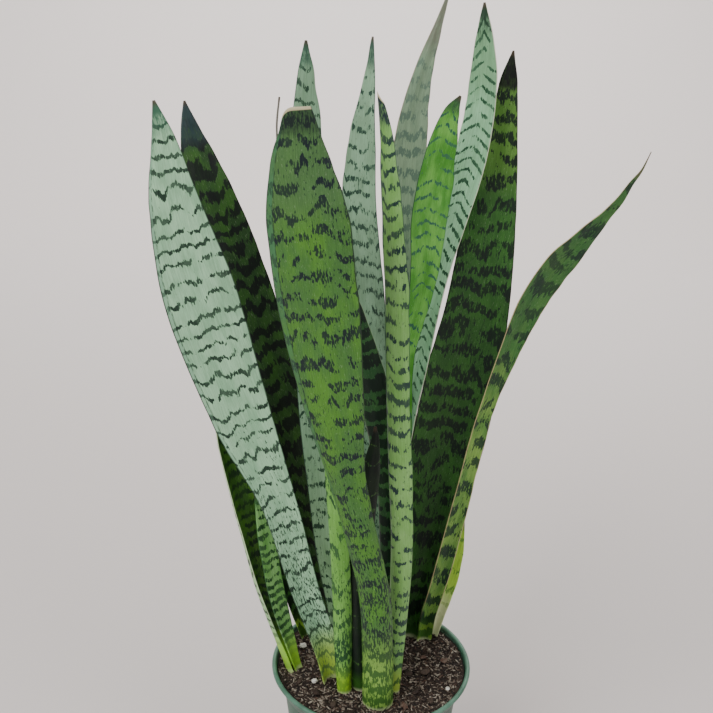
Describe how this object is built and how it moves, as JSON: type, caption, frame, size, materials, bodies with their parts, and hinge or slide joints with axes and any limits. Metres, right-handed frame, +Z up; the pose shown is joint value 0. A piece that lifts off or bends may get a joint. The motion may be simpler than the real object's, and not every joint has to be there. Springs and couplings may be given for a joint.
{
  "type": "potted snake plant",
  "caption": "Upright sword-leaved snake plant in a round tapered plastic nursery pot with a rolled rim, filled with a bark potting mix.",
  "frame": {"origin": "centre of the pot's underside, on the plane it stands on", "axes": "+Z up along the pot's axis, +Y away from the plant's front, +X to the right seen from the front"},
  "size_m": [0.3742, 0.213, 0.6763],
  "materials": {
    "pot": "dark green thin moulded plastic, satin",
    "potting_mix": "dark brown shredded bark mix, dull",
    "bark": "rough brown bark chip",
    "perlite": "matt white expanded perlite",
    "leaf_left_tall_pale": "pale mint with thin dark zigzag bands, waxy satin leaf",
    "leaf_left_tall_dark": "near-black green with faint bands, waxy satin leaf",
    "leaf_left_low_folded": "yellow-green with dark spots and a pale outer side, waxy satin leaf",
    "leaf_left_small_dotted": "light green with dark dots, waxy satin leaf",
    "leaf_left_back_dark": "dark green with faint bands, waxy satin leaf",
    "leaf_back_tall_mint": "mint grey with broken dark bands, waxy satin leaf",
    "leaf_front_small_light": "fresh light green with small dots, waxy satin leaf",
    "leaf_front_broad": "mid green with blue-black mottled bands, waxy satin leaf",
    "leaf_front_banded": "dark green with darker bands, waxy satin leaf",
    "leaf_front_narrow": "yellowish green with short dark dashes, waxy satin leaf",
    "leaf_middle_leaning": "dark green, waxy satin leaf",
    "leaf_back_tall_grey": "grey-green with mottled dark bands, waxy satin leaf",
    "leaf_back_tallest": "greyish green, waxy satin leaf",
    "leaf_back_bright": "bright green with thin blue-green chevrons, waxy satin leaf",
    "leaf_back_pale_mint": "pale mint with dark chevrons, waxy satin leaf",
    "leaf_right_broad_banded": "dark green with broad bands and a black tip, waxy satin leaf",
    "leaf_right_outward": "dark blocks on mid green with a cream-brown margin, waxy satin leaf",
    "leaf_right_low_yellow": "yellow-green with a cream foot, waxy satin leaf"
  },
  "bodies": {
    "root": {"pot": "pot", "potting_mix": "potting_mix", "leaf_left_tall_pale": "leaf_left_tall_pale", "leaf_left_tall_dark": "leaf_left_tall_dark", "leaf_left_low_folded": "leaf_left_low_folded", "leaf_left_small_dotted": "leaf_left_small_dotted", "leaf_left_back_dark": "leaf_left_back_dark", "leaf_back_tall_mint": "leaf_back_tall_mint", "leaf_front_small_light": "leaf_front_small_light", "leaf_front_broad": "leaf_front_broad", "leaf_front_banded": "leaf_front_banded", "leaf_front_narrow": "leaf_front_narrow", "leaf_middle_leaning": "leaf_middle_leaning", "leaf_back_tall_grey": "leaf_back_tall_grey", "leaf_back_tallest": "leaf_back_tallest", "leaf_back_bright": "leaf_back_bright", "leaf_back_pale_mint": "leaf_back_pale_mint", "leaf_right_broad_banded": "leaf_right_broad_banded", "leaf_right_outward": "leaf_right_outward", "leaf_right_low_yellow": "leaf_right_low_yellow", "bark_chip_1": "bark", "bark_chip_2": "bark", "bark_chip_3": "bark", "bark_chip_4": "bark", "bark_chip_5": "bark", "bark_chip_6": "bark", "bark_chip_7": "bark", "bark_chip_8": "bark", "bark_chip_9": "bark", "bark_chip_10": "bark", "bark_chip_11": "bark", "bark_chip_12": "bark", "bark_chip_13": "bark", "bark_chip_14": "bark", "perlite_grain_1": "perlite", "perlite_grain_2": "perlite", "perlite_grain_3": "perlite", "perlite_grain_4": "perlite", "perlite_grain_5": "perlite"}
  },
  "joints": []
}
